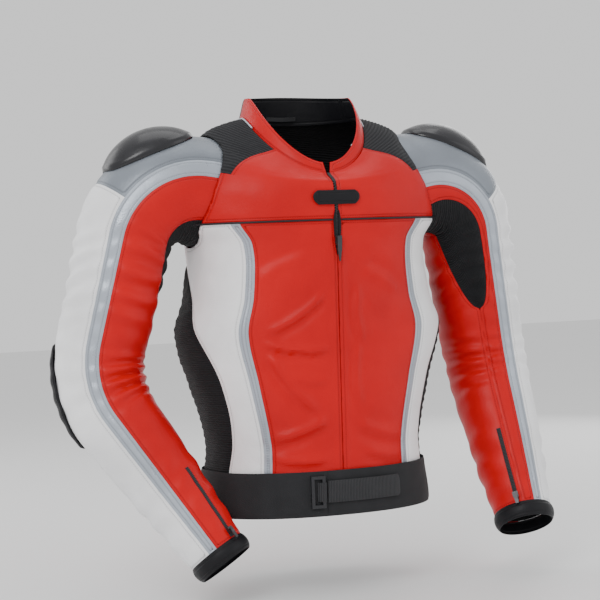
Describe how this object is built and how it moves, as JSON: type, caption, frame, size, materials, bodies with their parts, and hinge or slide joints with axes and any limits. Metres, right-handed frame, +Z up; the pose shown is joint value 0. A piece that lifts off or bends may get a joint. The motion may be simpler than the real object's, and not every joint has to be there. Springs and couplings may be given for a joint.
{
  "type": "riding jacket",
  "caption": "Panelled leather riding jacket with curved armoured sleeves, stretch inserts, front zip, throat tab, waist belt and zipped cuffs.",
  "frame": {"origin": "centre of the hanger loop at the back of the neck", "axes": "+Z up the back, -Y out of the front, +X towards the wearer's left"},
  "size_m": [0.7208, 0.263, 0.6659],
  "materials": {
    "red_leather": "smooth, lightly grained",
    "white_leather": "smooth, lightly grained",
    "silver_leather": "metallic sheen",
    "grey_leather": "satin metallic sheen",
    "black_leather": "smooth",
    "stretch_fabric": "ribbed, matt",
    "webbing": "close weave, matt",
    "hard_cup": "satin",
    "mesh_lining": "open mesh",
    "foam": "closed-cell foam",
    "zip_metal": "blackened"
  },
  "bodies": {
    "trunk": {"front_panel_left": "red_leather", "front_panel_right": "red_leather", "front_stripe_left": "silver_leather", "front_stripe_right": "silver_leather", "side_front_panel_left": "white_leather", "side_front_panel_right": "white_leather", "side_stretch_panel_left": "stretch_fabric", "side_stretch_panel_right": "stretch_fabric", "back_side_panel_left": "white_leather", "back_side_panel_right": "white_leather", "front_yoke_left": "red_leather", "front_yoke_right": "red_leather", "shoulder_stretch_panel_left": "stretch_fabric", "shoulder_stretch_panel_right": "stretch_fabric", "back_centre_panel": "red_leather", "lumbar_panel": "stretch_fabric", "collar_left": "red_leather", "collar_back": "black_leather", "collar_right": "red_leather", "body_lining": "mesh_lining", "back_protector": "foam", "hanger_loop": "webbing", "front_zip_chain": "webbing", "waist_belt": "webbing", "belt_loop_buckle": "zip_metal"},
    "right_upper_sleeve": {"right_shoulder_panel": "grey_leather", "right_upper_outer_panel": "white_leather", "right_upper_stripe": "silver_leather", "right_upper_inner_panel": "red_leather", "right_underarm_stretch": "stretch_fabric", "right_elbow_fold": "white_leather", "right_shoulder_cup": "hard_cup"},
    "right_forearm_sleeve": {"right_forearm_outer_panel": "white_leather", "right_forearm_stripe": "silver_leather", "right_forearm_inner_panel": "red_leather", "right_cuff_zip_chain": "webbing", "right_cuff_band": "black_leather", "right_elbow_pad": "black_leather"},
    "right_cuff_slider": {"right_cuff_zip_slider": "zip_metal"},
    "right_cuff_pull": {"right_cuff_zip_pull": "zip_metal"},
    "left_upper_sleeve": {"left_shoulder_panel": "grey_leather", "left_upper_outer_panel": "white_leather", "left_upper_stripe": "silver_leather", "left_upper_inner_panel": "red_leather", "left_underarm_stretch": "stretch_fabric", "left_elbow_fold": "white_leather", "left_shoulder_cup": "hard_cup"},
    "left_forearm_sleeve": {"left_forearm_outer_panel": "white_leather", "left_forearm_stripe": "silver_leather", "left_forearm_inner_panel": "red_leather", "left_cuff_zip_chain": "webbing", "left_cuff_band": "black_leather", "left_elbow_pad": "black_leather"},
    "left_cuff_slider": {"left_cuff_zip_slider": "zip_metal"},
    "left_cuff_pull": {"left_cuff_zip_pull": "zip_metal"},
    "zip_slider": {"front_zip_slider": "zip_metal"},
    "zip_pull": {"front_zip_pull": "zip_metal"},
    "throat_tab": {"throat_tab": "webbing"},
    "belt_strap": {"belt_strap": "webbing"}
  },
  "joints": [
    {"name": "right_shoulder_swing", "type": "hinge", "parent": "trunk", "child": "right_upper_sleeve", "pos_m": [-0.158, -0.0685, -0.1054], "axis": [-0.9826, 0, 0.1857], "range_deg": [0, 40]},
    {"name": "right_elbow_bend", "type": "hinge", "parent": "right_upper_sleeve", "child": "right_forearm_sleeve", "pos_m": [-0.30219, -0.06234, -0.36554], "axis": [-0.5157, -0.852, 0.0906], "range_deg": [-35, 1], "deforming": ["right_elbow_fold"]},
    {"name": "right_cuff_zip_slide", "type": "slide", "parent": "right_forearm_sleeve", "child": "right_cuff_slider", "axis": [-0.4505, 0.3058, 0.8388], "range_m": [0, 0.085]},
    {"name": "right_cuff_pull_lift", "type": "hinge", "parent": "right_cuff_slider", "child": "right_cuff_pull", "pos_m": [-0.16835, -0.19473, -0.55655], "axis": [-0.8178, -0.5183, -0.2502], "range_deg": [0, 120]},
    {"name": "left_shoulder_swing", "type": "hinge", "parent": "trunk", "child": "left_upper_sleeve", "pos_m": [0.158, -0.0685, -0.1054], "axis": [-0.9826, 0, -0.1857], "range_deg": [0, 40]},
    {"name": "left_elbow_bend", "type": "hinge", "parent": "left_upper_sleeve", "child": "left_forearm_sleeve", "pos_m": [0.29063, -0.049, -0.36664], "axis": [-0.9413, 0.3078, -0.1384], "range_deg": [-25, 50], "deforming": ["left_elbow_fold"]},
    {"name": "left_cuff_zip_slide", "type": "slide", "parent": "left_forearm_sleeve", "child": "left_cuff_slider", "axis": [-0.0206, 0.4221, 0.9063], "range_m": [0, 0.085]},
    {"name": "left_cuff_pull_lift", "type": "hinge", "parent": "left_cuff_slider", "child": "left_cuff_pull", "pos_m": [0.25879, -0.18837, -0.54713], "axis": [-0.8318, 0.4957, -0.2498], "range_deg": [0, 120]},
    {"name": "front_zip_slide", "type": "slide", "parent": "trunk", "child": "zip_slider", "axis": [0, 0.0294, -0.9996], "range_m": [-0.03, 0.28]},
    {"name": "front_zip_pull_swing", "type": "hinge", "parent": "zip_slider", "child": "zip_pull", "pos_m": [0, -0.20168, -0.1754], "axis": [-1, 0, 0], "range_deg": [0, 150]},
    {"name": "throat_tab_open", "type": "hinge", "parent": "trunk", "child": "throat_tab", "pos_m": [0.034, -0.1948, -0.1215], "axis": [0, 0, 1], "range_deg": [0, 120]},
    {"name": "belt_strap_open", "type": "hinge", "parent": "trunk", "child": "belt_strap", "pos_m": [-0.0271, -0.1925, -0.5204], "axis": [0, 0, -1], "range_deg": [0, 100]}
  ]
}
